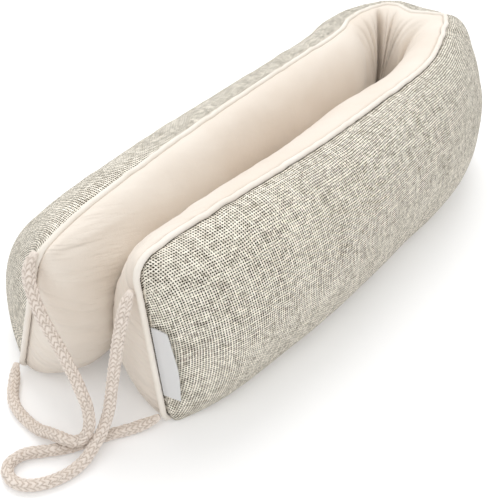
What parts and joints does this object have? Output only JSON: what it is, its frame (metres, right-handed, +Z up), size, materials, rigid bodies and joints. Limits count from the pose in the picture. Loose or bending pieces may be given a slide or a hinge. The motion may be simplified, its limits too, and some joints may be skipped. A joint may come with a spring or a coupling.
{
  "type": "draught excluder",
  "caption": "Stuffed fabric draught excluder folded in half and stood on its seam, with a piped edge and a braided cord loop at each end.",
  "frame": {"origin": "centre of the cushion's base on the floor", "axes": "+Z up; +Y from the open end with the cord loops towards the fold; the near arm is on the +X side"},
  "size_m": [0.1977, 0.503, 0.1309],
  "materials": {
    "linen_cloth": "coarse open plain weave of natural ecru linen",
    "cotton_cloth": "smooth matt cream cotton",
    "cotton_cord": "braided cream cotton cord",
    "label_satin": "white satin ribbon, blank"
  },
  "bodies": {
    "root": {"linen_panel": "linen_cloth", "cotton_panel": "cotton_cloth", "piping": "cotton_cloth", "cord_loop_near": "cotton_cord", "cord_loop_far": "cotton_cord", "label_tab": "label_satin"}
  },
  "joints": []
}
